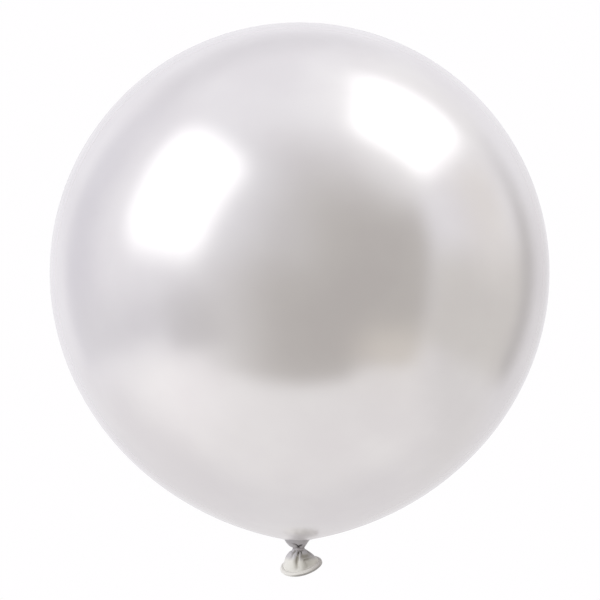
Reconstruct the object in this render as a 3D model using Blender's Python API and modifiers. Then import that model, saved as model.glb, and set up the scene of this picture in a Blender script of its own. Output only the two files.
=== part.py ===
"""A giant latex balloon, filled and tied off at its neck.

Blender 4.5 script. Lengths are in metres, +Z is up and the front is -Y. The origin is the pinch of the
neck, where a line is tied. The ball stands over it and the loose tail of the neck hangs below it.
"""

import math

import bmesh
import bpy
from mathutils import Euler, Vector

PARTS = "giant_latex_balloon"

# Latex: the wall is thicker than real blown film, so that it makes a sound solid.
FILM = 0.001
GAP = 0.0003

# Ball: a sphere whose lower half draws out towards the neck.
BALL_RADIUS = 0.450
BALL_CENTRE_Z = 0.5005
NECK_DRAW = 0.083
NECK_DRAW_POWER = 3.2
NECK_ANGLE = math.radians(3.6)
PASSAGE_RADIUS = 0.0015
BALL_STEPS_AROUND = 64
BALL_STEPS_DOWN = 31

# Creases, where the pinch tucks the film in: they run up the neck and down the tail.
CREASES = (
    # (degrees to the right of the front, depth)
    (-165, 0.8),
    (-135, 0.7),
    (-110, 0.6),
    (-70, 0.5),
    (-35, 0.7),
    (-10, 1.0),
    (25, 0.8),
    (65, 0.5),
    (110, 0.6),
    (140, 0.8),
    (170, 0.9),
)
FRONT_ANGLE = math.radians(-90)
CREASE_WIDTH = math.radians(9)
POINTS_AROUND = 72

# Gathered neck: sections from the flat end of the ball down to the pinch.
GATHER_FOOT_Z = 0.0012
GATHER_SECTIONS = (
    # (height above the foot as a share, shift to the right, radius, pleat)
    (1.00, 0.0000, 0.0300, 0.01),
    (0.84, -0.0012, 0.0242, 0.04),
    (0.69, -0.0026, 0.0208, 0.08),
    (0.50, -0.0032, 0.0184, 0.14),
    (0.22, -0.0024, 0.0150, 0.22),
    (0.00, 0.0000, 0.0106, 0.22),
)

# Knot: a bundle of folds with one roll of the neck drawn round it.
BUNDLE_RADIUS = 0.0075
BUNDLE_PLEAT = 0.10
KNOT_HEIGHT = 0.0054
ROLL_HALF_WIDTH = 0.0014
ROLL_POINTS_AROUND = 48
ROLL_SIDES = 12

# Tail: sections from the knot down to the rolled lip. As it flares it leans back and to the right,
# and its front droops.
LEAN_BACK = math.radians(17)
LEAN_RIGHT = math.radians(11.5)
FRONT_DROOP = 0.004
TAIL_SECTIONS = (
    # (drop below the pinch, shift right, shift back, share of the lean, half width, half depth, pleat)
    (0.0048, 0.0000, 0.0000, 0.00, 0.0080, 0.0080, 0.15),
    (0.0056, 0.0008, 0.0006, 0.15, 0.0148, 0.0138, 0.26),
    (0.0082, 0.0014, 0.0020, 0.35, 0.0216, 0.0188, 0.32),
    (0.0135, 0.0022, 0.0045, 0.60, 0.0256, 0.0222, 0.29),
    (0.0200, 0.0026, 0.0070, 0.80, 0.0280, 0.0242, 0.19),
    (0.0256, 0.0034, 0.0092, 0.95, 0.0300, 0.0256, 0.08),
)
LIP_MIDDLE = (0.0308, 0.0048, 0.0110, 1.00, 0.0330, 0.0280, 0.00)
BEAD_RADIUS = 0.0045
BEAD_RESOLUTION = 4


def clear_scene():
    """Removes what the file opened with."""
    for item in list(bpy.data.objects):
        bpy.data.objects.remove(item, do_unlink=True)


def make_collection(name):
    """A collection for the balloon's parts."""
    collection = bpy.data.collections.new(name)
    bpy.context.scene.collection.children.link(collection)
    return collection


def latex(name, color, roughness, metallic=0.0):
    """A latex finish."""
    material = bpy.data.materials.new(name)
    material.use_nodes = True
    shader = material.node_tree.nodes["Principled BSDF"]
    shader.inputs["Base Color"].default_value = (*color, 1.0)
    shader.inputs["Roughness"].default_value = roughness
    shader.inputs["Metallic"].default_value = metallic
    material.diffuse_color = (*color, 1.0)
    return material


def add_part(collection, name, data, material):
    """An object of the balloon, made from a mesh or a curve."""
    part = bpy.data.objects.new(name, data)
    collection.objects.link(part)
    data.materials.append(material)
    return part


def ball_profile(angle):
    """Radius and height of the ball's skin at an angle from straight down."""
    drawn_out = max(0.0, 1.0 - angle / (math.pi / 2)) ** NECK_DRAW_POWER
    reach = BALL_RADIUS * (1.0 + NECK_DRAW * drawn_out)
    return reach * math.sin(angle), BALL_CENTRE_Z - reach * math.cos(angle)


def tucked(angle, pleat):
    """The share of its radius that a section keeps at an angle, with sharp creases and round folds."""
    deepest = 0.0
    for degrees, depth in CREASES:
        away = math.remainder(angle - FRONT_ANGLE - math.radians(degrees), math.tau)
        deepest = max(deepest, depth * math.exp(-abs(away) / CREASE_WIDTH))
    return 1.0 - pleat * deepest


def section_angles():
    """The angles of a section's points, from +X round by +Y."""
    return [math.tau * step / POINTS_AROUND for step in range(POINTS_AROUND)]


def level_section(height, shift, radius, pleat):
    """A pleated round section at one height."""
    points = []
    for angle in section_angles():
        reach = radius * tucked(angle, pleat)
        points.append(Vector((shift + reach * math.cos(angle), reach * math.sin(angle), height)))
    return points


def leaning_section(row, inset=0.0):
    """A pleated oval section of the tail, drawn in by an inset for the inner side of the film."""
    drop, shift_right, shift_back, lean, half_width, half_depth, pleat = row
    turn = Euler((lean * LEAN_BACK, -lean * LEAN_RIGHT, 0.0))
    points = []
    for angle in section_angles():
        keep = tucked(angle, pleat)
        x = (half_width - inset) * keep * math.cos(angle)
        y = (half_depth - inset) * keep * math.sin(angle)
        spoke = Vector((x, y, -lean * FRONT_DROOP * max(0.0, -math.sin(angle)) ** 2))
        spoke.rotate(turn)
        points.append(Vector((shift_right, shift_back, -drop)) + spoke)
    return points


def edge_section(above, inset):
    """The film's lower edge, which ends just clear of the lip's bead below a section."""
    points = []
    middle = leaning_section(LIP_MIDDLE)
    inner = leaning_section(LIP_MIDDLE, BEAD_RADIUS)
    for higher, bead, inside in zip(above, middle, inner):
        along_film = (higher - bead).normalized()
        inward = (inside - bead).normalized()
        points.append(bead + along_film * (BEAD_RADIUS + GAP) + inward * inset)
    return points


def loft(name, sections, top, foot):
    """A closed mesh through sections of equal count, each end closed on its middle point."""
    shape = bmesh.new()
    rings = [[shape.verts.new(point) for point in section] for section in sections]
    for upper, lower in zip(rings, rings[1:]):
        for index in range(POINTS_AROUND):
            after = (index + 1) % POINTS_AROUND
            shape.faces.new((upper[index], lower[index], lower[after], upper[after]))
    for ring, middle, faces_up in ((rings[0], top, True), (rings[-1], foot, False)):
        centre = shape.verts.new(middle)
        for index in range(POINTS_AROUND):
            pair = (ring[index], ring[(index + 1) % POINTS_AROUND])
            shape.faces.new((centre, *pair) if faces_up else (centre, *reversed(pair)))
    mesh = bpy.data.meshes.new(name)
    shape.to_mesh(mesh)
    shape.free()
    mesh.shade_smooth()
    mesh.set_sharp_from_angle(angle=math.radians(40))
    return mesh


def make_envelope(collection, material):
    """The blown film: a turned skin, open only at the narrow passage of the closed neck."""
    profile = []
    for step in range(BALL_STEPS_DOWN + 1):
        share = step / BALL_STEPS_DOWN
        radius, height = ball_profile(math.pi + share * (NECK_ANGLE - math.pi))
        profile.append((radius if step else 0.0, 0.0, height))
    profile.append((PASSAGE_RADIUS, 0.0, profile[-1][2]))
    mesh = bpy.data.meshes.new("envelope")
    mesh.from_pydata(profile, [(at, at + 1) for at in range(len(profile) - 1)], [])
    part = add_part(collection, "envelope", mesh, material)
    turn = part.modifiers.new("turn", "SCREW")
    turn.axis = "Z"
    turn.steps = BALL_STEPS_AROUND
    turn.render_steps = BALL_STEPS_AROUND
    turn.use_merge_vertices = True
    turn.merge_threshold = 0.00001
    turn.use_smooth_shade = True
    wall = part.modifiers.new("wall", "SOLIDIFY")
    wall.thickness = FILM
    wall.offset = -1.0


def make_neck_gather(collection, material):
    """The neck's film, gathered into folds between the ball and the knot."""
    top_z = ball_profile(NECK_ANGLE)[1] - GAP
    sections = []
    for share, shift, radius, pleat in GATHER_SECTIONS:
        height = GATHER_FOOT_Z + share * (top_z - GATHER_FOOT_Z)
        sections.append(level_section(height, shift, radius, pleat))
    mesh = loft("neck_gather", sections, Vector((0, 0, top_z)), Vector((0, 0, GATHER_FOOT_Z)))
    add_part(collection, "neck_gather", mesh, material)


def make_knot_core(collection, material):
    """The bundle of folds that the pinch closes."""
    top_z = GATHER_FOOT_Z - GAP
    foot_z = top_z - KNOT_HEIGHT
    sections = [level_section(height, 0.0, BUNDLE_RADIUS, BUNDLE_PLEAT) for height in (top_z, foot_z)]
    mesh = loft("knot_core", sections, Vector((0, 0, top_z)), Vector((0, 0, foot_z)))
    add_part(collection, "knot_core", mesh, material)


def make_knot_wrap(collection, material):
    """The roll of neck drawn round the bundle: a ring, stretched to the height of the knot."""
    bpy.ops.mesh.primitive_torus_add(
        major_segments=ROLL_POINTS_AROUND,
        minor_segments=ROLL_SIDES,
        major_radius=BUNDLE_RADIUS + GAP + ROLL_HALF_WIDTH,
        minor_radius=ROLL_HALF_WIDTH,
    )
    ring = bpy.context.active_object
    mesh = ring.data
    mesh.name = "knot_wrap"
    bpy.data.objects.remove(ring, do_unlink=True)
    stretch = KNOT_HEIGHT / (2 * ROLL_HALF_WIDTH)
    for point in mesh.vertices:
        point.co.z = point.co.z * stretch + GATHER_FOOT_Z - GAP - KNOT_HEIGHT / 2
    mesh.shade_smooth()
    add_part(collection, "knot_wrap", mesh, material)


def make_tail_skirt(collection, material):
    """The loose end of the neck, which flares below the knot in pleats and is open underneath."""
    outer = [leaning_section(row) for row in TAIL_SECTIONS]
    inner = []
    for drop, *rest in TAIL_SECTIONS:
        inner.append(leaning_section((drop + FILM / 2, *rest), FILM))
    edge = [edge_section(outer[-1], -FILM / 2), edge_section(outer[-1], FILM / 2)]
    top = Vector((0.0, 0.0, -TAIL_SECTIONS[0][0]))
    ceiling = top - Vector((0.0, 0.0, FILM))
    mesh = loft("tail_skirt", outer + edge + inner[:0:-1], top, ceiling)
    add_part(collection, "tail_skirt", mesh, material)


def make_lip_bead(collection, material):
    """The rolled lip, a round bead round the open end of the tail."""
    path = bpy.data.curves.new("lip_bead", "CURVE")
    path.dimensions = "3D"
    path.bevel_depth = BEAD_RADIUS
    path.bevel_resolution = BEAD_RESOLUTION
    line = path.splines.new("POLY")
    line.points.add(POINTS_AROUND - 1)
    line.use_cyclic_u = True
    for point, place in zip(line.points, leaning_section(LIP_MIDDLE)):
        point.co = (*place, 1.0)
    add_part(collection, "lip_bead", path, material)


def main():
    """Builds the balloon from the crown down."""
    clear_scene()
    collection = make_collection(PARTS)
    pearl = latex("pearl_latex", (0.72, 0.70, 0.68), 0.28, 0.6)
    gathered = latex("gathered_latex", (0.48, 0.46, 0.48), 0.40, 0.2)
    rolled = latex("rolled_latex", (0.64, 0.63, 0.62), 0.50)
    ivory = latex("ivory_latex", (0.74, 0.73, 0.67), 0.45)
    make_envelope(collection, pearl)
    make_neck_gather(collection, gathered)
    make_knot_core(collection, gathered)
    make_knot_wrap(collection, rolled)
    make_tail_skirt(collection, ivory)
    make_lip_bead(collection, rolled)


main()
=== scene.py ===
"""Looks of a giant latex balloon: the pearl film, its gathered neck, the knot and the rolled lip.

Lengths are in metres. +Z is up, the front is -Y and the origin is the pinch of the neck, where a line
is tied. Angles round the neck are in degrees to the right of the front.
"""

import logging
import math
from collections.abc import Sequence
from dataclasses import dataclass, field
from enum import Enum
from typing import NamedTuple

import bpy
import numpy as np
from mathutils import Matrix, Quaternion, Vector


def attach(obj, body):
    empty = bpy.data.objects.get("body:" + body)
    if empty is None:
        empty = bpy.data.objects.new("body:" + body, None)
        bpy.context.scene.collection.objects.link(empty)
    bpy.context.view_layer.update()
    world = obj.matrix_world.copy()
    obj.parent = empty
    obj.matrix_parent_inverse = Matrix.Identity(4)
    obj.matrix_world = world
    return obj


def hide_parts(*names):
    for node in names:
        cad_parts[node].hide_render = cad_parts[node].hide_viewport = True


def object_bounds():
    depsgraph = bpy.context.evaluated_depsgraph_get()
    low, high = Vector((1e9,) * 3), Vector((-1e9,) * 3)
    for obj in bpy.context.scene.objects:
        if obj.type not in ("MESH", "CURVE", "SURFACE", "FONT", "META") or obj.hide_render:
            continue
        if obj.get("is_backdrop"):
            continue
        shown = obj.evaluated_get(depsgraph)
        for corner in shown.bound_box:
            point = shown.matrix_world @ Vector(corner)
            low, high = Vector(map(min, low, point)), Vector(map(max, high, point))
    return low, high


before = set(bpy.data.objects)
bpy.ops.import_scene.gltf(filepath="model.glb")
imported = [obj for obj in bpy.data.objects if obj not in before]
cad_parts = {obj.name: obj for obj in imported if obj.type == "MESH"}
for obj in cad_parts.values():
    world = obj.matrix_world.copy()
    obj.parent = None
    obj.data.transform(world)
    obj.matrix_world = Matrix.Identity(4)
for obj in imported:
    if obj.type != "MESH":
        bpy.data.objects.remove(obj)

CAD_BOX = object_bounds()
BODY = "root"
LOG = logging.getLogger("balloon")

Colour = tuple[float, float, float]
Rows = Sequence[Sequence[float]]

TINY = 1e-8
"""Keeps a distance above 0 where something is divided by it."""


class Slot(Enum):
    """The record's material slots."""

    PEARL = "pearl_latex"
    GATHERED = "gathered_latex"
    ROLLED = "rolled_latex"
    IVORY = "ivory_latex"


class Wire:
    """A node's output. Python operators on it add Math nodes."""

    def __init__(self, graph: "Graph", socket: bpy.types.NodeSocket) -> None:
        """Wraps a socket of a graph."""
        self.graph = graph
        self.socket = socket

    def math(self, operation: str, *values: "Wire | float") -> "Wire":
        """Adds a Math node, whose inputs are the values in order, and takes its output."""
        return self.graph.wire("ShaderNodeMath", {"operation": operation}, dict(enumerate(values)))

    def __add__(self, other: "Wire | float") -> "Wire":
        """Adds."""
        return self.math("ADD", self, other)

    __radd__ = __add__

    def __sub__(self, other: "Wire | float") -> "Wire":
        """Takes other away."""
        return self.math("SUBTRACT", self, other)

    def __rsub__(self, other: "Wire | float") -> "Wire":
        """Takes this away from other."""
        return self.math("SUBTRACT", other, self)

    def __mul__(self, other: "Wire | float") -> "Wire":
        """Multiplies."""
        return self.math("MULTIPLY", self, other)

    __rmul__ = __mul__

    def __truediv__(self, other: "Wire | float") -> "Wire":
        """Divides by other."""
        return self.math("DIVIDE", self, other)

    def __pow__(self, power: float) -> "Wire":
        """Raises to a power."""
        return self.math("POWER", self, power)

    def rise(self, low: float, high: float) -> "Wire":
        """A smooth step.

        Args:
            low: where it leaves 0.
            high: where it reaches 1.

        Returns:
            0 up to low, 1 from high on, and a smooth rise between them.
        """
        settings = {"interpolation_type": "SMOOTHSTEP", "clamp": True}
        inputs = {"Value": self, "From Min": low, "From Max": high}
        return self.graph.wire("ShaderNodeMapRange", settings, inputs)


class Graph:
    """A node tree that is wired from Python."""

    def __init__(self, tree: bpy.types.NodeTree) -> None:
        """Starts with an empty tree."""
        self.tree = tree
        tree.nodes.clear()

    def node(self, kind: str, settings: dict | None = None, inputs: dict | None = None) -> bpy.types.Node:
        """Adds a node.

        Args:
            kind: the node's type.
            settings: its properties, which are set first.
            inputs: values or wires for its sockets, by name or number.

        Returns:
            The node.
        """
        made = self.tree.nodes.new(kind)
        for name, value in (settings or {}).items():
            setattr(made, name, value)
        for name, value in (inputs or {}).items():
            if isinstance(value, Wire):
                self.tree.links.new(value.socket, made.inputs[name])
            else:
                made.inputs[name].default_value = value
        return made

    def wire(
        self,
        kind: str,
        settings: dict | None = None,
        inputs: dict | None = None,
        output: str | int = 0,
    ) -> Wire:
        """Adds a node, as node() does, and takes one of its outputs by name or number."""
        return Wire(self, self.node(kind, settings, inputs).outputs[output])

    def blend(self, share: Wire | float, first: Wire | Colour, second: Wire | Colour) -> Wire:
        """Mixes two colours.

        Args:
            share: how much of the second colour there is.
            first: the colour at 0.
            second: the colour at 1.

        Returns:
            The mixed colour.
        """
        inputs = {0: share}
        for number, colour in ((6, first), (7, second)):
            inputs[number] = colour if isinstance(colour, Wire) else (*colour, 1.0)
        return self.wire("ShaderNodeMix", {"data_type": "RGBA"}, inputs, 2)

    def along(self, vector: Wire, direction: Vector) -> Wire:
        """How far a vector goes along a direction."""
        return self.wire("ShaderNodeVectorMath", {"operation": "DOT_PRODUCT"}, {0: vector, 1: direction}, 1)

    def parts(self, vector: Wire) -> tuple[Wire, ...]:
        """A vector's three parts."""
        node = self.node("ShaderNodeSeparateXYZ", {}, {0: vector})
        return tuple(Wire(self, part) for part in node.outputs)

    def noise(self, vector: Wire, scale: float, detail: float = 2.0) -> Wire:
        """Smooth noise, about 0.5 on average, with so many lumps for each unit of the vector."""
        return self.wire("ShaderNodeTexNoise", {}, {"Vector": vector, "Scale": scale, "Detail": detail})

    def relief(self, height: Wire, distance: float) -> Wire:
        """A normal that follows a height from 0 to 1, where 1 stands for a distance in metres."""
        return self.wire("ShaderNodeBump", {}, {"Strength": 1.0, "Distance": distance, "Height": height})

    def finish(self, inputs: dict) -> None:
        """Adds the shader with these inputs and the material's output."""
        shader = self.wire("ShaderNodeBsdfPrincipled", {}, inputs)
        self.node("ShaderNodeOutputMaterial", {}, {"Surface": shader})


def spline(rows: Rows, place: float) -> list[float]:
    """Reads a smooth curve through the rows of a table.

    Args:
        rows: the rows.
        place: 0 at the first row, 1 at the second, and so on.

    Returns:
        The values there.
    """
    index = min(int(place), len(rows) - 2)
    share = place - index
    before, start, end, after = (rows[min(max(index + step, 0), len(rows) - 1)] for step in (-1, 0, 1, 2))
    values = []
    for a, b, c, d in zip(before, start, end, after):
        bend = 2 * a - 5 * b + 4 * c - d
        twist = 3 * b - a - 3 * c + d
        values.append(b + 0.5 * share * (c - a + share * (bend + share * twist)))
    return values


def column(rows: Rows, at: int, place: float | np.ndarray) -> float | np.ndarray:
    """Reads a column of a table by its first one, along straight lines."""
    return np.interp(place, [row[0] for row in rows], [row[at] for row in rows])


def ridged(angles: np.ndarray, ridges: int, depth: float, start: float = 0.0) -> np.ndarray:
    """How far an outline of folded film reaches: 1 on its ridges, and less by depth between them."""
    return 1.0 - depth * np.abs(np.sin(ridges / 2 * angles + start)) ** 0.5


def heading(azimuth: float, elevation: float) -> Vector:
    """The way from the balloon to a place in the studio, so many degrees right of the camera and up."""
    turn, tilt = math.radians(azimuth), math.radians(elevation)
    return Vector((math.sin(turn) * math.cos(tilt), -math.cos(turn) * math.cos(tilt), math.sin(tilt)))


@dataclass(frozen=True)
class Tuck:
    """A crease or a hollow in the film, along a short path."""

    path: tuple[tuple[float, float], ...]
    """Points from the pinch outwards: degrees right of the front, and metres up or, on the tail, down."""
    depth: float
    width: float
    """Half width where it starts, in metres."""
    spread: float = 1.6
    """How much wider it is where it ends."""
    fade: float = 0.8
    """How fast it gets shallower along the path: 0 keeps it deep to its end."""
    soft: float = 0.0003
    """Radius that rounds the bottom of the crease, in metres."""

    def course(self, steps: int = 8) -> list[list[float]]:
        """The path in small steps, so that it stays on the film between its points."""
        return [spline(self.path, step / steps) for step in range(steps * (len(self.path) - 1) + 1)]

    def pressed(self, points: np.ndarray, line: np.ndarray) -> np.ndarray:
        """How deep the tuck presses each point.

        Args:
            points: the film's points.
            line: the path's points on the film.

        Returns:
            The depth at each point, in metres.
        """
        steps = len(line) - 1
        nearest = np.full(len(points), np.inf)
        shares = np.zeros(len(points))
        for number in range(steps):
            start, run = line[number], line[number + 1] - line[number]
            along = np.clip((points - start) @ run / (run @ run), 0.0, 1.0)
            away = np.linalg.norm(points - start - along[:, None] * run, axis=1)
            closer = away < nearest
            nearest[closer] = away[closer]
            shares[closer] = (number + along[closer]) / steps
        width = self.width * (1.0 + (self.spread - 1.0) * shares)
        fall = np.exp(-(np.sqrt(nearest**2 + self.soft**2) - self.soft) / width)
        return self.depth * (1.0 - shares) ** self.fade * fall


class Bench:
    """Modelling steps that several pieces share."""

    FULL_TUCK = 0.003
    """The depth that the attribute "tuck" counts as 1, in metres."""
    MERGE_REACH = 0.000002
    """Points that lie closer than this become one, in metres."""

    @staticmethod
    def start(name: str, vertices: int, radius: float, centre: Vector) -> bpy.types.Object:
        """Adds a ring of points and opens it in edit mode, all selected.

        Args:
            name: the piece's name.
            vertices: how many points the ring has.
            radius: the ring's radius.
            centre: the ring's middle.

        Returns:
            The new piece, whose origin is the world's.
        """
        bpy.ops.object.select_all(action="DESELECT")
        bpy.ops.mesh.primitive_circle_add(vertices=vertices, radius=radius)
        piece = bpy.context.active_object
        piece.name = name
        piece.data.name = name
        bpy.ops.object.mode_set(mode="EDIT")
        bpy.ops.mesh.select_all(action="SELECT")
        bpy.ops.transform.translate(value=centre)
        return piece

    @staticmethod
    def pull(move: Vector, widen: float, deepen: float, centre: Vector) -> None:
        """Extrudes the selected ring and shapes the new one.

        Args:
            move: from the old ring's middle to the new one's.
            widen: the new ring's width over the old one's.
            deepen: the new ring's depth over the old one's.
            centre: the new ring's middle.
        """
        bpy.ops.mesh.extrude_region_move(TRANSFORM_OT_translate={"value": move})
        bpy.ops.transform.resize(value=(widen, deepen, 1.0), center_override=centre)

    @staticmethod
    def choose(piece: bpy.types.Object) -> None:
        """Selects a piece alone and makes it the active one.

        Args:
            piece: the piece.
        """
        bpy.ops.object.select_all(action="DESELECT")
        piece.select_set(True)
        bpy.context.view_layer.objects.active = piece

    @staticmethod
    def points(piece: bpy.types.Object) -> np.ndarray:
        """Reads the points of a piece.

        Args:
            piece: the piece, in object mode.

        Returns:
            The points, one a row.
        """
        flat = np.empty(3 * len(piece.data.vertices))
        piece.data.vertices.foreach_get("co", flat)
        return flat.reshape(-1, 3)

    @staticmethod
    def place(piece: bpy.types.Object, points: np.ndarray) -> None:
        """Puts the piece's points at new places."""
        piece.data.vertices.foreach_set("co", points.ravel())
        piece.data.update()

    @staticmethod
    def press(piece: bpy.types.Object, tucks: Sequence[Tuck], lines: Sequence[np.ndarray]) -> None:
        """Presses tucks into the film, against its normals, as sculpting does.

        The depth is kept in the attribute "tuck", where the finishes read it to paint shade into the
        creases.

        Args:
            piece: the piece, in object mode.
            tucks: the tucks.
            lines: each tuck's path as points on the film.
        """
        points = Bench.points(piece)
        normals = np.empty(points.size)
        piece.data.vertex_normals.foreach_get("vector", normals)
        depth = np.zeros(len(points))
        for tuck, line in zip(tucks, lines):
            pressed = tuck.pressed(points, line)
            depth = np.where(np.abs(pressed) > np.abs(depth), pressed, depth)
        Bench.place(piece, points - normals.reshape(-1, 3) * depth[:, None])
        kept = piece.data.attributes.new("tuck", "FLOAT", "POINT")
        kept.data.foreach_set("value", np.clip(depth / Bench.FULL_TUCK, 0.0, 1.0))

    @staticmethod
    def tidy(piece: bpy.types.Object) -> None:
        """Merges doubles, turns the faces outwards and shades them smooth.

        Args:
            piece: the piece, in object mode.
        """
        bpy.context.view_layer.objects.active = piece
        bpy.ops.object.mode_set(mode="EDIT")
        bpy.ops.mesh.select_all(action="SELECT")
        bpy.ops.mesh.remove_doubles(threshold=Bench.MERGE_REACH)
        bpy.ops.mesh.normals_make_consistent(inside=False)
        bpy.ops.object.mode_set(mode="OBJECT")
        bpy.ops.object.shade_smooth()

    @staticmethod
    def thicken(piece: bpy.types.Object, wall: float) -> None:
        """Gives an open film its wall, inwards from its outer side.

        Args:
            piece: the film.
            wall: the wall, in metres.
        """
        modifier = piece.modifiers.new("wall", "SOLIDIFY")
        modifier.thickness = wall
        modifier.offset = -1.0
        bpy.context.view_layer.objects.active = piece
        bpy.ops.object.modifier_apply(modifier=modifier.name)

    @staticmethod
    def hand_over(piece: bpy.types.Object, slot: Slot, nodes: Sequence[str]) -> None:
        """Ties a finished piece to the frame and reports it.

        Args:
            piece: the piece.
            slot: the record's slot; not used.
            nodes: the CAD nodes that it stands for.
        """
        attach(piece, BODY)
        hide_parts(*nodes)
        LOG.info("%s: %d faces, for %s", piece.name, len(piece.data.polygons), ", ".join(nodes))


@dataclass(frozen=True)
class Fade:
    """Painted shade or painted light that the latex takes on along one direction."""

    colour: Colour
    direction: tuple[float, float, float]
    start: float
    """How far along the direction it begins, in metres."""
    end: float
    share: float = 1.0
    by_normal: bool = False
    """Whether it follows how far the surface faces along the direction, from 0 to 1, and not its place."""


@dataclass(frozen=True)
class Latex:
    """A latex finish, whose sheen and colour follow the film's thickness, and whose colour darkens in the
    tucks as painted shade.
    """

    name: str
    colour: Colour
    thick_and_shade_colour: Colour
    # Colour of thicker film where the clouds and stretch lines reach it, and painted shade in the tucks,
    # darker where they are deeper.
    """Colour in the tucks, where the film lies in layers."""
    metallic: float
    roughness: float
    lines: float
    """Height of the fine stretch lines, in metres."""
    fades: tuple[Fade, ...] = ()
    cloud_scale: float = 90.0
    cloud_share: float = 0.35
    """How much the clouds change the colour."""
    grain_scale: float = 900.0
    grain_roughness: float = 0.10
    grain_height: float = 0.25
    """Height of the grain, as a share of the stretch lines' height."""
    line_scale: float = 16.0
    """Stretch lines round the axis, for each radian."""
    line_run: float = 8.0
    """Radians that a metre of height counts as. They are few, so the stretch lines run up and down."""
    line_share: float = 0.4
    """How much the stretch lines change the colour."""
    full_shade: float = 1.2
    # The sum of tuck, clouds and lines at which the colour is fully the thick one; the tuck's part of it is
    # painted shade.
    """The sum of tuck, clouds and lines at which the colour is the thick one."""
    tuck_roughness: float = 0.05

    def begin(self) -> tuple[bpy.types.Material, Graph]:
        """Starts the finish.

        Returns:
            An empty material of this name, and its graph.
        """
        material = bpy.data.materials.new(self.name)
        material.use_nodes = True
        return material, Graph(material.node_tree)

    def material(self) -> bpy.types.Material:
        """Builds the finish.

        Returns:
            The material.
        """
        material, graph = self.begin()
        place = graph.wire("ShaderNodeTexCoord", output="Object")
        tuck = graph.wire("ShaderNodeAttribute", {"attribute_name": "tuck"}, output="Fac")
        cloud = graph.noise(place, self.cloud_scale, detail=3.0)
        grain = graph.noise(place, self.grain_scale)
        right, back, height = graph.parts(place)
        reach = (right * right + back * back + TINY) ** 0.5
        round_axis = {0: right / reach, 1: back / reach, 2: height * self.line_run}
        spoke = graph.wire("ShaderNodeCombineXYZ", {}, round_axis)
        stretch = graph.noise(spoke, self.line_scale, detail=3.0)
        # Painted shade: the tucks' depth darkens the colour, mixed with random tone from the clouds and
        # stretch lines.
        shade = tuck + (cloud - 0.5) * self.cloud_share + (stretch - 0.5) * self.line_share
        facing = graph.wire("ShaderNodeNewGeometry", output="Normal")
        base: Wire | Colour = self.colour
        for fade in self.fades:
            along = graph.along(facing if fade.by_normal else place, Vector(fade.direction))
            base = graph.blend(along.rise(fade.start, fade.end) * fade.share, base, fade.colour)
        base = graph.blend(shade.rise(0.0, self.full_shade), base, self.thick_and_shade_colour)
        inputs = {
            "Base Color": base,
            "Metallic": self.metallic,
            "Roughness": self.roughness + (grain - 0.5) * self.grain_roughness + tuck * self.tuck_roughness,
            "Normal": graph.relief(stretch + grain * self.grain_height, self.lines),
        }
        graph.finish(inputs)
        return material


@dataclass(frozen=True)
class PearlLatex(Latex):
    """The blown pearl film: bright and half metallic where it is stretched, duller at the neck, with painted
    shade in the neck's creases.
    """

    cloud_scale: float = 7.0
    grain_scale: float = 420.0
    noise_roughness: float = 0.03
    """How much the clouds and the grain each change the roughness."""
    neck_colour: Colour = (0.47, 0.455, 0.475)
    # Painted shade in the neck's creases, where the attribute tuck is deep.
    crease_shade_colour: Colour = (0.10, 0.09, 0.095)
    neck_top: float = 0.0208
    """Height above which the film is stretched and no longer gathered."""
    neck_blend: float = 0.0035
    """Height over which the one goes over into the other."""
    neck_metal_loss: float = 0.20
    neck_roughness: float = 0.12
    dull_top: float = 0.070
    """Height above which the film is fully glossy."""
    dull_metal_loss: float = 0.65
    dull_roughness: float = 0.07

    def material(self) -> bpy.types.Material:
        """Builds the finish.

        Returns:
            The material.
        """
        material, graph = self.begin()
        place = graph.wire("ShaderNodeTexCoord", output="Object")
        tuck = graph.wire("ShaderNodeAttribute", {"attribute_name": "tuck"}, output="Fac")
        height = graph.parts(place)[2]
        neck = 1.0 - height.rise(self.neck_top - self.neck_blend, self.neck_top)
        dull = 1.0 - height.rise(self.neck_top, self.dull_top)
        cloud = graph.noise(place, self.cloud_scale, detail=3.0)
        grain = graph.noise(place, self.grain_scale)
        film = graph.blend(cloud.rise(0.3, 0.7) * self.cloud_share, self.colour, self.thick_and_shade_colour)
        base = graph.blend(neck, film, self.neck_colour)
        # Painted shade: the creases darken towards the crease shade colour.
        base = graph.blend(tuck.rise(0.1, 0.9), base, self.crease_shade_colour)
        speckle = (cloud - 0.5) * self.noise_roughness + (grain - 0.5) * self.noise_roughness
        inputs = {
            "Base Color": base,
            "Metallic": self.metallic * (1.0 - neck * self.neck_metal_loss - dull * self.dull_metal_loss),
            "Roughness": self.roughness + speckle + dull * self.dull_roughness + neck * self.neck_roughness,
            "Normal": graph.relief(grain, self.lines),
        }
        graph.finish(inputs)
        return material


PEARL = PearlLatex(
    "pearl_latex_film",
    colour=(0.868, 0.849, 0.863),
    thick_and_shade_colour=(0.748, 0.719, 0.743),
    metallic=0.62,
    roughness=0.18,
    lines=0.00002,
)
GATHERED = Latex(
    "gathered_latex_roll",
    colour=(0.385, 0.365, 0.38),
    thick_and_shade_colour=(0.24, 0.23, 0.245),
    metallic=0.10,
    roughness=0.46,
    lines=0.00025,
)
IVORY = Latex(
    "ivory_latex_film",
    colour=(0.735, 0.728, 0.693),
    thick_and_shade_colour=(0.28, 0.265, 0.225),
    metallic=0.0,
    roughness=0.50,
    lines=0.00018,
    fades=(
        # Painted shade: darker right of the front, away from the lamp.
        Fade((0.61, 0.60, 0.565), (1.0, 0.0, 0.0), start=0.002, end=0.009),
        # Painted light: lighter again further right.
        Fade((0.79, 0.78, 0.735), (1.0, 0.0, 0.0), start=0.016, end=0.029),
        # Painted shade: greyer and bluer towards the top, under the ball.
        Fade((0.58, 0.57, 0.60), (0.0, 0.0, 1.0), start=-0.0225, end=-0.0120),
    ),
)
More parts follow.
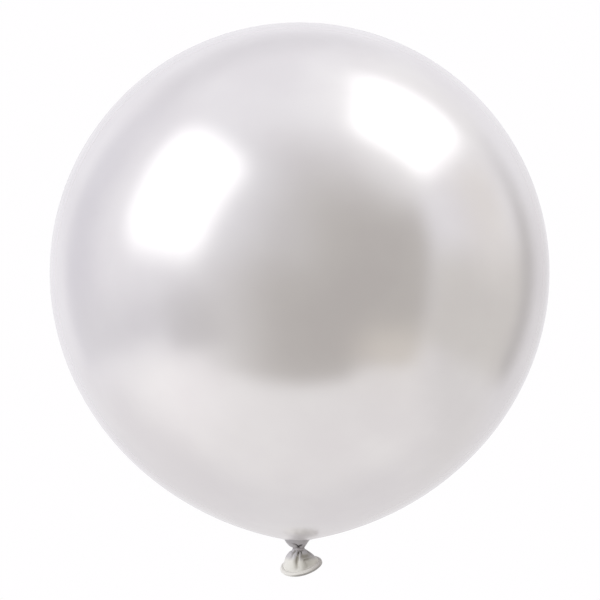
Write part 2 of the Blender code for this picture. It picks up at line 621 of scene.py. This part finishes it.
ROLLED = Latex(
    "rolled_latex_lip",
    colour=(0.79, 0.78, 0.75),
    thick_and_shade_colour=(0.52, 0.50, 0.47),
    metallic=0.0,
    roughness=0.48,
    lines=0.00016,
    fades=(
        # Painted shade: greyer towards the lip's right end.
        Fade((0.64, 0.62, 0.605), (1.0, 0.0, 0.0), start=0.010, end=0.036),
        # Painted shade on the underside of the roll.
        Fade((0.34, 0.33, 0.32), (0.1, 0.0, -1.0), start=-0.42, end=0.28, by_normal=True),
        # Painted light: lighter again towards the left.
        Fade((0.74, 0.73, 0.70), (-1.0, 0.0, 0.0), start=0.002, end=0.020, share=0.8),
    ),
)


@dataclass
class BlownSkin:
    """The blown film, from the crown down to the folds that the pinch draws in."""

    radius: float = 0.450
    centre_z: float = 0.5005
    neck_draw: float = 0.083
    """How far the ball is drawn out towards the neck, as a share of its radius."""
    neck_draw_power: float = 3.2
    neck_angle: float = math.radians(3.6)
    """Where the ball's outline goes over into the neck's, from straight down."""
    wall: float = 0.0003
    steps_around: int = 240
    ball_steps: int = 84
    ball_crowding: float = 1.15
    """Above 1, the ball's rings lie closer together near the neck than at the crown."""
    neck_steps_a_row: int = 7
    seed_radius: float = 0.001
    """Radius of the small triangle that is merged into the outline's first point."""
    neck_rows: Rows = (
        # (height, shift to the right, radius), from inside the knot up to the ball
        (-0.0026, -0.0018, 0.0072),
        (0.0004, -0.0018, 0.0096),
        (0.0018, -0.0021, 0.0113),
        (0.0040, -0.0036, 0.0142),
        (0.0073, -0.0043, 0.0171),
        (0.0109, -0.0047, 0.0197),
        (0.0145, -0.0047, 0.0221),
        (0.0168, -0.0040, 0.0240),
        (0.0179, -0.0030, 0.0286),
    )
    lean_reach: float = 0.045
    """How far up the ball the neck's shift fades to a third, in metres."""
    tucks: tuple[Tuck, ...] = (
        Tuck(
            ((5, 0.0032), (0, 0.0060), (-10, 0.0090), (-24, 0.0108), (-44, 0.0120)),
            0.0046, 0.0014, 0.8, 0.9,
        ),
        Tuck(((5, 0.0028), (20, 0.0058), (36, 0.0074)), 0.0052, 0.0020, 1.0, 0.35),
        Tuck(((-4, 0.0026), (-26, 0.0046)), 0.0022, 0.0008),
        Tuck(((-60, 0.0005), (-66, 0.0080)), 0.0016, 0.0012),
        Tuck(((-92, 0.0005), (-96, 0.0110)), 0.0020, 0.0012),
        Tuck(((-122, 0.0005), (-118, 0.0100)), 0.0022, 0.0012),
        Tuck(((-150, 0.0005), (-158, 0.0140)), 0.0026, 0.0013),
        Tuck(((180, 0.0005), (172, 0.0100)), 0.0020, 0.0012),
        Tuck(((146, 0.0005), (150, 0.0130)), 0.0024, 0.0013),
        Tuck(((112, 0.0005), (106, 0.0090)), 0.0020, 0.0012),
        Tuck(((80, 0.0005), (84, 0.0110)), 0.0016, 0.0012),
        Tuck(((48, 0.0005), (56, 0.0060)), 0.0014, 0.0011),
    )

    def ball_point(self, angle: float) -> Vector:
        """A point of the ball's outline, as the CAD has it.

        Args:
            angle: from straight down, in radians.

        Returns:
            The point, to the right of the axis.
        """
        drawn_out = max(0.0, 1.0 - angle / (math.pi / 2)) ** self.neck_draw_power
        reach = self.radius * (1.0 + self.neck_draw * drawn_out)
        return Vector((reach * math.sin(angle), 0.0, self.centre_z - reach * math.cos(angle)))

    def outline(self) -> list[Vector]:
        """The film's outline.

        Returns:
            Its points, from inside the knot up to the crown.
        """
        places = (len(self.neck_rows) - 1) * self.neck_steps_a_row
        points = []
        for step in range(places):
            height, _, radius = spline(self.neck_rows, step / self.neck_steps_a_row)
            points.append(Vector((radius, 0.0, height)))
        for step in range(self.ball_steps + 1):
            share = (step / self.ball_steps) ** self.ball_crowding
            points.append(self.ball_point(self.neck_angle + share * (math.pi - self.neck_angle)))
        points[-1].x = 0.0
        return points

    def neck_point(self, degrees: float, height: float) -> np.ndarray:
        """A point on the plain neck, before it is tucked.

        Args:
            degrees: to the right of the front.
            height: above the pinch.

        Returns:
            The point.
        """
        shift, radius = (column(self.neck_rows, at, height) for at in (1, 2))
        angle = math.radians(degrees)
        return np.array((shift + radius * math.sin(angle), -radius * math.cos(angle), height))

    def lean_neck(self, piece: bpy.types.Object) -> None:
        """Shifts the neck's rings sideways. The shift fades out above them.

        Args:
            piece: the film, in object mode.
        """
        points = Bench.points(piece)
        neck_height = self.neck_rows[-1][0]
        above = np.maximum(points[:, 2] - neck_height, 0.0)
        shift = column(self.neck_rows, 1, points[:, 2])
        points[:, 0] += shift * np.exp(-above / self.lean_reach)
        Bench.place(piece, points)

    def build(self) -> bpy.types.Object:
        """Turns the outline round the axis, tucks the neck and gives the film its wall.

        Returns:
            The piece.
        """
        outline = self.outline()
        piece = Bench.start("blown_skin", 3, self.seed_radius, outline[0])
        bpy.ops.mesh.merge(type="CENTER")
        for start, end in zip(outline, outline[1:]):
            bpy.ops.mesh.extrude_region_move(TRANSFORM_OT_translate={"value": end - start})
        bpy.ops.mesh.select_all(action="SELECT")
        bpy.ops.mesh.spin(steps=self.steps_around, angle=math.tau, center=(0, 0, 0), axis=(0, 0, 1))
        Bench.tidy(piece)
        self.lean_neck(piece)
        lines = [np.array([self.neck_point(*place) for place in tuck.course()]) for tuck in self.tucks]
        Bench.press(piece, self.tucks, lines)
        Bench.thicken(piece, self.wall)
        return piece

    def dress(self) -> None:
        """Builds the skin in its finish."""
        piece = self.build()
        piece.data.materials.append(PEARL.material())
        Bench.hand_over(piece, Slot.PEARL, ("envelope", "neck_gather"))


@dataclass
class Knot:
    """The knot: a bundle of folds, with one strand of rolled neck drawn round it."""

    middle: Vector = field(default_factory=lambda: Vector((-0.0018, 0.0, -0.0004)))
    strand_radius: float = 0.0093
    half_thickness: float = 0.0018
    half_height: float = 0.0027
    strand_sides: int = 28
    strand_layers: int = 5
    layer_depth: float = 0.07
    """How far the strand is pressed in between the edges of its layers, as a share of its thickness."""
    strand_points: int = 96
    turns: float = 1.16
    end_share: float = 0.20
    """The share of the strand, at each end, that dives into the bundle."""
    end_depth: float = 0.0030
    end_lift: float = 0.0012
    """How far one end lies above the strand's middle and the other below it."""
    bundle_points: int = 96
    bundle_folds: int = 9
    fold_phase: float = 0.6
    """Turns the folds round the bundle: pi turns them by one fold."""
    fold_depth: float = 0.16
    """How far the bundle is pressed in between its folds, as a share of its radius."""
    bundle_rows: Rows = (
        # (height, radius), from the top down: the foot closes inside the tail
        (0.0020, 0.0070),
        (0.0000, 0.0082),
        (-0.0045, 0.0082),
        (-0.0062, 0.0070),
        (-0.0075, 0.0040),
    )

    def strand_profile(self) -> bpy.types.Object:
        """The strand's cross-section: an oval with the edges of its rolled layers.

        Returns:
            A closed curve.
        """
        bpy.ops.object.select_all(action="DESELECT")
        bpy.ops.mesh.primitive_circle_add(vertices=self.strand_sides, radius=1.0)
        profile = bpy.context.active_object
        points = Bench.points(profile)
        angles = np.arctan2(points[:, 1], points[:, 0])
        layers = ridged(angles, self.strand_layers, self.layer_depth)
        points[:, 0] *= self.half_thickness * layers
        points[:, 1] *= self.half_height * layers
        Bench.place(profile, points)
        bpy.ops.object.convert(target="CURVE")
        return profile

    def build_strand(self) -> bpy.types.Object:
        """Draws the strand round the bundle. Its two ends cross at the back and dive in.

        Returns:
            The piece.
        """
        profile = self.strand_profile()
        path = bpy.data.curves.new("knot_strand", "CURVE")
        path.dimensions = "3D"
        path.twist_mode = "Z_UP"
        path.bevel_mode = "OBJECT"
        path.bevel_object = profile
        path.use_fill_caps = True
        line = path.splines.new("POLY")
        line.points.add(self.strand_points - 1)
        for number, point in enumerate(line.points):
            run = number / (self.strand_points - 1) - 0.5
            angle = math.tau * self.turns * run
            dive = math.copysign(max(0.0, abs(run) - (0.5 - self.end_share)) / self.end_share, run)
            reach = self.strand_radius - self.end_depth * abs(dive) ** 2
            place = Vector((reach * math.sin(angle), -reach * math.cos(angle), self.end_lift * dive))
            point.co = (*(self.middle + place), 1.0)
        piece = bpy.data.objects.new("knot_strand", path)
        bpy.context.scene.collection.objects.link(piece)
        Bench.choose(piece)
        bpy.ops.object.convert(target="MESH")
        bpy.data.objects.remove(profile, do_unlink=True)
        Bench.tidy(piece)
        return piece

    def build_bundle(self) -> bpy.types.Object:
        """Draws the bundle of folds, closed at both ends.

        Returns:
            The piece.
        """
        height, radius = self.bundle_rows[0]
        piece = Bench.start("fold_bundle", self.bundle_points, radius, Vector((0, 0, height)))
        bpy.ops.mesh.edge_face_add()
        for above, below in zip(self.bundle_rows, self.bundle_rows[1:]):
            move = Vector((0, 0, below[0] - above[0]))
            widen = below[1] / above[1]
            Bench.pull(move, widen, widen, Vector((0, 0, below[0])))
        bpy.ops.object.mode_set(mode="OBJECT")
        points = Bench.points(piece)
        angles = np.arctan2(points[:, 1], points[:, 0])
        folds = ridged(angles, self.bundle_folds, self.fold_depth, self.fold_phase)
        points[:, :2] *= folds[:, None]
        points[:, 0] += self.middle.x
        Bench.place(piece, points)
        Bench.tidy(piece)
        return piece

    def dress(self) -> tuple[bpy.types.Object, bpy.types.Object]:
        """Builds the knot's two pieces in their finish.

        Returns:
            The strand and the bundle.
        """
        latex = GATHERED.material()
        strand = self.build_strand()
        bundle = self.build_bundle()
        for piece in (strand, bundle):
            piece.data.materials.clear()
            piece.data.materials.append(latex)
        Bench.hand_over(strand, Slot.ROLLED, ("knot_wrap",))
        Bench.hand_over(bundle, Slot.GATHERED, ("knot_core",))
        return strand, bundle


class Ring(NamedTuple):
    """A ring of the straight bell."""

    drop: float
    right: float
    back: float
    lean: float
    """Its share of the whole lean."""
    wide: float
    """Half its width."""
    deep: float
    """Half its depth."""

    @property
    def centre(self) -> Vector:
        """The ring's middle."""
        return Vector((self.right, self.back, -self.drop))


@dataclass
class Tail:
    """The loose end of the neck: a pleated bell that leans, with its lip rolled up."""

    lean_back: float = math.radians(17)
    lean_right: float = math.radians(10)
    droop: float = 0.0044
    """How far the lip hangs where it hangs most, a little left of the front."""
    droop_angle: float = math.radians(-24)
    droop_power: float = 1.5
    """Above 1, the drooping stretch of the lip is shorter than half of it."""
    wall: float = 0.0006
    points_around: int = 240
    steps_a_row: int = 6
    rows: Rows = (
        # (drop below the pinch, shift right, shift back, share of the lean, half width, half depth)
        (0.0000, -0.0016, 0.0000, 0.00, 0.0098, 0.0084),
        (0.0018, -0.0006, 0.0008, 0.00, 0.0137, 0.0094),
        (0.0036, -0.0003, 0.0014, 0.05, 0.0165, 0.0108),
        (0.0056, -0.0009, 0.0018, 0.10, 0.0189, 0.0140),
        (0.0084, -0.0012, 0.0022, 0.35, 0.0213, 0.0182),
        (0.0135, -0.0011, 0.0045, 0.60, 0.0253, 0.0220),
        (0.0200, 0.0004, 0.0070, 0.80, 0.0292, 0.0242),
        (0.0256, 0.0018, 0.0092, 0.95, 0.0318, 0.0256),
        (0.0314, 0.0029, 0.0110, 1.00, 0.0345, 0.0280),
    )
    tucks: tuple[Tuck, ...] = (
        Tuck(((-3, 0.0026), (-5, 0.0050), (-6, 0.0100), (-7, 0.0160)), 0.0050, 0.0012, 1.9, 0.5, 0.0004),
        Tuck(((-8, 0.0100), (-12, 0.0150), (-14, 0.0200), (-14, 0.0255)), 0.0042, 0.0025, 1.5, 0.5, 0.0014),
        Tuck(((11, 0.0026), (14, 0.0050), (23, 0.0100), (30, 0.0150)), 0.0042, 0.0011, 1.2, 0.3),
        Tuck(((19, 0.0150), (22, 0.0200), (23, 0.0262)), 0.0018, 0.0028, 1.3, 0.2, 0.0014),
        Tuck(((-10, 0.0026), (10, 0.0027), (35, 0.0027), (58, 0.0026)), 0.0024, 0.0007, 1.0, 0.1),
        Tuck(((-32, 0.0034), (-35, 0.0054), (-41, 0.0090), (-52, 0.0140)), 0.0028, 0.0016, 1.9, 0.5, 0.0008),
        # A broad hollow and its fold under the right shoulder; through the attribute tuck their depth also
        # paints shade there.
        Tuck(((20, 0.0090), (34, 0.0098), (50, 0.0106), (64, 0.0120)), 0.0032, 0.0042, 1.0, 0.3, 0.0024),
        Tuck(((21, 0.0148), (36, 0.0150), (50, 0.0154), (66, 0.0164)), 0.0034, 0.0018, 1.0, 0.4, 0.0006),
        Tuck(((-58, 0.0036), (-66, 0.0150)), 0.0016, 0.0020, 1.8),
        Tuck(((70, 0.0036), (74, 0.0200)), 0.0034, 0.0018, 2.0),
        Tuck(((98, 0.0030), (108, 0.0260)), 0.0048, 0.0018, 2.0),
        Tuck(((128, 0.0030), (132, 0.0180)), 0.0040, 0.0017, 1.8),
        Tuck(((156, 0.0030), (160, 0.0280)), 0.0054, 0.0018, 2.0),
        Tuck(((-176, 0.0030), (-172, 0.0190)), 0.0040, 0.0017, 1.8),
        Tuck(((-148, 0.0030), (-146, 0.0270)), 0.0052, 0.0018, 2.0),
        Tuck(((-120, 0.0030), (-116, 0.0200)), 0.0040, 0.0017, 1.8),
        Tuck(((-92, 0.0036), (-96, 0.0250)), 0.0044, 0.0018, 2.0),
    )
    lip_radius: float = 0.0045
    lip_sides: int = 30
    lip_step: float = 0.10
    """How far the roll's outer layer stands over its start, as a share of the radius."""

    def plain_point(self, degrees: float, drop: float) -> np.ndarray:
        """A point on the straight bell, before it is tucked and leant.

        Args:
            degrees: to the right of the front.
            drop: below the pinch.

        Returns:
            The point.
        """
        right, back, wide, deep = (column(self.rows, at, drop) for at in (1, 2, 4, 5))
        angle = math.radians(degrees)
        return np.array((right + wide * math.sin(angle), back - deep * math.cos(angle), -drop))

    def build_bell(self) -> tuple[bpy.types.Object, list[Ring]]:
        """Draws the straight bell ring by ring, from the knot down.

        Returns:
            The piece and its rings.
        """
        places = (len(self.rows) - 1) * self.steps_a_row
        rings = [Ring(*spline(self.rows, step / self.steps_a_row)) for step in range(places + 1)]
        top = rings[0]
        piece = Bench.start("tail_film", self.points_around, top.wide, top.centre)
        bpy.ops.transform.resize(value=(1.0, top.deep / top.wide, 1.0), center_override=top.centre)
        for above, below in zip(rings, rings[1:]):
            move = below.centre - above.centre
            Bench.pull(move, below.wide / above.wide, below.deep / above.deep, below.centre)
        bpy.ops.object.mode_set(mode="OBJECT")
        Bench.tidy(piece)
        return piece, rings

    def lean(self, piece: bpy.types.Object, rings: list[Ring]) -> None:
        """Leans each ring round its middle and lets its front droop.

        Args:
            piece: the straight bell, whose points lie ring after ring.
            rings: its rings.
        """
        points = Bench.points(piece).reshape(len(rings), self.points_around, 3)
        for placed, ring in zip(points, rings):
            centre = np.array((ring.right, ring.back, -ring.drop))
            spokes = placed - centre
            turned = np.arctan2(spokes[:, 0] / ring.wide, -spokes[:, 1] / ring.deep) - self.droop_angle
            fall = np.clip(np.cos(turned), 0.0, 1.0) ** self.droop_power
            spokes[:, 2] -= ring.lean * self.droop * fall
            tilt, roll = ring.lean * self.lean_back, -ring.lean * self.lean_right
            _, y, z = spokes.T.copy()
            spokes[:, 1] = y * math.cos(tilt) - z * math.sin(tilt)
            spokes[:, 2] = y * math.sin(tilt) + z * math.cos(tilt)
            x, _, z = spokes.T.copy()
            spokes[:, 0] = x * math.cos(roll) + z * math.sin(roll)
            spokes[:, 2] = z * math.cos(roll) - x * math.sin(roll)
            placed[:] = centre + spokes
        Bench.place(piece, points.reshape(-1, 3))

    def take_edge(self, film: bpy.types.Object) -> bpy.types.Object:
        """Copies the film's lowest ring into an object of its own.

        Args:
            film: the leant bell, before it has a wall.

        Returns:
            The ring, as a mesh.
        """
        Bench.choose(film)
        last = len(film.data.vertices) - self.points_around
        bpy.ops.object.mode_set(mode="EDIT")
        bpy.ops.mesh.select_all(action="DESELECT")
        bpy.ops.object.mode_set(mode="OBJECT")
        chosen = [number >= last for number in range(len(film.data.vertices))]
        film.data.vertices.foreach_set("select", chosen)
        ends = [all(chosen[end] for end in edge.vertices) for edge in film.data.edges]
        film.data.edges.foreach_set("select", ends)
        bpy.ops.object.mode_set(mode="EDIT")
        bpy.ops.mesh.duplicate()
        bpy.ops.mesh.separate(type="SELECTED")
        bpy.ops.object.mode_set(mode="OBJECT")
        return next(item for item in bpy.context.selected_objects if item is not film)

    def lip_profile(self) -> bpy.types.Object:
        """The rolled lip's cross-section: a roll whose outer layer ends in a small step.

        Returns:
            A closed curve.
        """
        bpy.ops.object.select_all(action="DESELECT")
        bpy.ops.mesh.primitive_circle_add(vertices=self.lip_sides, radius=self.lip_radius)
        profile = bpy.context.active_object
        points = Bench.points(profile)
        turned = np.arctan2(points[:, 1], -points[:, 0]) % math.tau / math.tau
        points[:, :2] *= (1.0 - self.lip_step * (1.0 - turned) ** 2)[:, None]
        Bench.place(profile, points)
        bpy.ops.object.convert(target="CURVE")
        return profile

    def build_lip(self, edge: bpy.types.Object) -> bpy.types.Object:
        """Rolls the lip round the film's edge.

        Args:
            edge: the film's lowest ring.

        Returns:
            The piece.
        """
        edge.name = "rolled_lip"
        profile = self.lip_profile()
        Bench.choose(edge)
        bpy.ops.object.convert(target="CURVE")
        edge.data.twist_mode = "Z_UP"
        edge.data.bevel_mode = "OBJECT"
        edge.data.bevel_object = profile
        bpy.ops.object.convert(target="MESH")
        bpy.data.objects.remove(profile, do_unlink=True)
        Bench.tidy(edge)
        return edge

    def dress(self) -> tuple[bpy.types.Object, bpy.types.Object]:
        """Builds the tail's film and lip in their finishes.

        Returns:
            The film and the lip.
        """
        film, rings = self.build_bell()
        lines = [np.array([self.plain_point(*place) for place in tuck.course()]) for tuck in self.tucks]
        Bench.press(film, self.tucks, lines)
        self.lean(film, rings)
        lip = self.build_lip(self.take_edge(film))
        Bench.thicken(film, self.wall)
        film.data.materials.append(IVORY.material())
        lip.data.materials.clear()
        lip.data.materials.append(ROLLED.material())
        Bench.hand_over(film, Slot.IVORY, ("tail_skirt",))
        Bench.hand_over(lip, Slot.ROLLED, ("lip_bead",))
        return film, lip


@dataclass(frozen=True)
class Panel:
    """A flat panel of the studio that faces the balloon, as the balloon sees it. Angles are in degrees."""

    name: str
    light: Colour
    azimuth: float
    """To the right of the camera."""
    elevation: float
    sides: tuple[float, float, float, float]
    """Where its left, right, lower and upper edges lie, from its middle."""
    soft: tuple[float, float, float, float]
    """Half width over which each of those edges fades."""
    roll: float = 0.0
    """How far its top leans to the left."""
    rim: tuple[float, float] = (0.02, 0.10)
    """Share of a ray that goes the panel's way: no panel below the first, all of it above the second."""

    def mask(self, graph: Graph, way: Wire) -> Wire:
        """Where the balloon sees the panel.

        Args:
            graph: the world's graph.
            way: the direction that a ray goes.

        Returns:
            1 on the panel and 0 off it, with soft edges.
        """
        turn = math.radians(self.azimuth)
        ahead = heading(self.azimuth, self.elevation)
        level = Vector((math.cos(turn), math.sin(turn), 0.0))
        lean = Quaternion(ahead, -math.radians(self.roll))
        right, up = lean @ level, lean @ ahead.cross(level)
        facing = graph.along(way, ahead)
        near = facing.math("MAXIMUM", facing, self.rim[0])
        inside = facing.rise(*self.rim)
        edges = []
        for side, soft in zip(self.sides, self.soft):
            edges.append((math.radians(side - soft), math.radians(side + soft)))
        for axis, first, last in ((right, *edges[:2]), (up, *edges[2:])):
            aside = graph.along(way, axis)
            off = aside.math("ARCTAN2", aside, near)
            inside = inside * off.rise(*first) * (1.0 - off.rise(*last))
        return inside


@dataclass
class Studio:
    """A white studio: soft panels of light round the balloon, a pale floor and the camera."""

    backdrop: Colour = (0.90, 0.89, 0.92)
    floor_light: Colour = (0.945, 0.93, 0.92)
    horizon: tuple[float, float] = (-0.75, -0.25)
    """The height of a ray of length 1 between which the floor's light gives way to the backdrop's."""
    panels: tuple[Panel, ...] = (
        # Name, light, azimuth, elevation, edges, their softness and roll. Each covers those before it.
        Panel("back floor", (0.81, 0.795, 0.80), 180, -42, (-42, 42, -34, 24), (30, 30, 14, 14)),
        Panel("upper back", (0.74, 0.73, 0.76), -160, 50, (-26, 26, -8, 11), (14, 12, 8, 9)),
        Panel("floor glow", (1.12, 1.10, 1.09), -76, -46, (-18, 20, -10, 14), (18, 18, 16, 8)),
        Panel("right floor", (0.81, 0.80, 0.79), 112, -36, (-32, 36, -10, 8), (8, 16, 9, 6)),
        Panel("right back", (0.785, 0.77, 0.785), 146, -6, (-16, 14, -18, 18), (8, 12, 10, 12)),
        Panel("left wall", (0.71, 0.70, 0.75), -118, 3, (-13, 13, -22, 40), (5, 11, 3, 20)),
        Panel("left low", (0.70, 0.69, 0.72), -85, -10, (-40, 40, -14, 2), (8, 8, 4, 10)),
        Panel("right low", (0.675, 0.655, 0.615), 90, -8, (-29, 36, -21, 16), (9, 5, 5, 10)),
        Panel("right wall", (0.885, 0.855, 0.815), 94, 16, (-9, 18, -13, 18), (12, 12, 16, 6)),
        Panel("room left", (0.60, 0.59, 0.60), -54, -17, (-10, 16, -13, 6), (6, 10, 4, 10)),
        Panel("dark room", (0.43, 0.405, 0.37), 0, 0, (-36, 60.5, -49.5, 50), (34, 7, 5.5, 32)),
        Panel("room light", (0.52, 0.50, 0.48), -4, 12, (-10, 12, -12, 14), (8, 8, 10, 10)),
        Panel("room corner", (0.70, 0.65, 0.57), 47, -31, (-15, 14, -8, 7), (12, 10, 6, 10)),
        Panel("floor step", (0.94, 0.92, 0.90), 46, -45, (-10, 16, -8, 6), (8, 10, 6, 4)),
        Panel("left halo", (0.86, 0.865, 0.89), -50, 28, (-30, 32, -24, 28), (14, 24, 18, 14)),
        Panel("ceiling glow", (1.05, 1.05, 1.06), 80, 78, (-17, 20, -12, 9), (16, 14, 8, 9)),
        Panel("right halo", (0.97, 0.965, 0.96), 92, 50, (-34, 36, -16.5, 24), (14, 14, 8, 14)),
        Panel("right stripe", (0.46, 0.445, 0.435), 125.5, 0, (-6, 7, -22, 22), (6, 8, 3, 22)),
        Panel("left softbox", (2.0, 2.0, 2.0), -63, 31, (-19, 21, -22.5, 22.5), (10, 9, 10.5, 7), 8),
        Panel("right softbox", (2.0, 2.0, 2.0), 92, 54, (-20.5, 16.5, -15, 18), (7, 8, 6, 7), -5),
    )
    lamp_azimuth: float = -43.0
    lamp_elevation: float = 4.0
    lamp_distance: float = 1.6
    lamp_size: float = 0.5
    lamp_power: float = 7.6
    white: Colour = (1.0, 0.992, 1.0)
    floor_z: float = -0.75
    floor_radius: float = 14.0
    floor_sides: int = 96
    camera_place: Vector = field(default_factory=lambda: Vector((0.0007, -3.5, 0.4510)))
    camera_field: float = math.radians(17.69)

    def light(self) -> None:
        """Lights the scene by the panels. The camera itself sees plain white behind the balloon."""
        world = bpy.data.worlds.new("studio")
        bpy.context.scene.world = world
        world.use_nodes = True
        graph = Graph(world.node_tree)
        way = graph.wire("ShaderNodeTexCoord", output="Generated")
        height = graph.along(way, Vector((0.0, 0.0, 1.0)))
        seen = graph.blend(height.rise(*self.horizon), self.floor_light, self.backdrop)
        for panel in self.panels:
            seen = graph.blend(panel.mask(graph, way), seen, panel.light)
            LOG.info("studio panel: %s", panel.name)
        direct = graph.wire("ShaderNodeLightPath", output="Is Camera Ray")
        seen = graph.blend(direct, seen, self.white)
        background = graph.wire("ShaderNodeBackground", {}, {"Color": seen})
        graph.node("ShaderNodeOutputWorld", {}, {"Surface": background})
        bpy.context.scene.view_settings.view_transform = "Standard"

    def light_tail(self, pieces: Sequence[bpy.types.Object]) -> None:
        """Lights the tail and the knot softly from the left, below the shade of the ball.

        Args:
            pieces: the pieces that the lamp lights.
        """
        ahead = heading(self.lamp_azimuth, self.lamp_elevation)
        bpy.ops.object.light_add(type="AREA", location=ahead * self.lamp_distance)
        lamp = bpy.context.active_object
        lamp.name = "tail_lamp"
        lamp.rotation_euler = ahead.to_track_quat("Z", "Y").to_euler()
        lamp.data.shape = "DISK"
        lamp.data.size = self.lamp_size
        lamp.data.energy = self.lamp_power
        lit = bpy.data.collections.new("tail_pieces")
        for piece in pieces:
            lit.objects.link(piece)
        lamp.light_linking.receiver_collection = lit

    def lay_floor(self) -> None:
        """Lays the pale floor, which shows from above only."""
        bpy.ops.object.select_all(action="DESELECT")
        bpy.ops.mesh.primitive_circle_add(
            vertices=self.floor_sides,
            radius=self.floor_radius,
            fill_type="NGON",
            location=(0.0, 0.0, self.floor_z),
        )
        floor = bpy.context.active_object
        floor.name = "floor"
        material = bpy.data.materials.new("pale_floor")
        material.use_nodes = True
        graph = Graph(material.node_tree)
        below = graph.wire("ShaderNodeNewGeometry", output="Backfacing")
        pale = graph.wire("ShaderNodeEmission", {}, {"Color": (*self.white, 1.0)})
        clear = graph.wire("ShaderNodeBsdfTransparent")
        surface = graph.wire("ShaderNodeMixShader", {}, {0: below, 1: pale, 2: clear})
        graph.node("ShaderNodeOutputMaterial", {}, {"Surface": surface})
        floor.data.materials.append(material)
        floor.visible_diffuse = False
        floor.visible_glossy = False
        floor.visible_shadow = False
        floor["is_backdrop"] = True

    def aim(self) -> None:
        """Sets the camera up where the photograph was taken: level, at the balloon's middle height."""
        bpy.ops.object.camera_add(location=self.camera_place, rotation=(math.pi / 2, 0.0, 0.0))
        camera = bpy.context.active_object
        camera.data.angle = self.camera_field
        bpy.context.scene.camera = camera

    def prepare(self) -> None:
        """Prepares the light, the floor and the camera."""
        self.light()
        self.lay_floor()
        self.aim()


def main() -> None:
    """Builds the studio and the balloon, from the crown down."""
    logging.basicConfig(level=logging.INFO, format="%(name)s: %(message)s")
    studio = Studio()
    studio.prepare()
    BlownSkin().dress()
    studio.light_tail((*Knot().dress(), *Tail().dress()))
    boxes = {"cad": CAD_BOX, "visual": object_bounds()}
    for name, corners in boxes.items():
        boxes[name] = [list(corner) for corner in corners]
        LOG.info("%s box: %s", name, boxes[name])


if __name__ == "__main__":
    main()
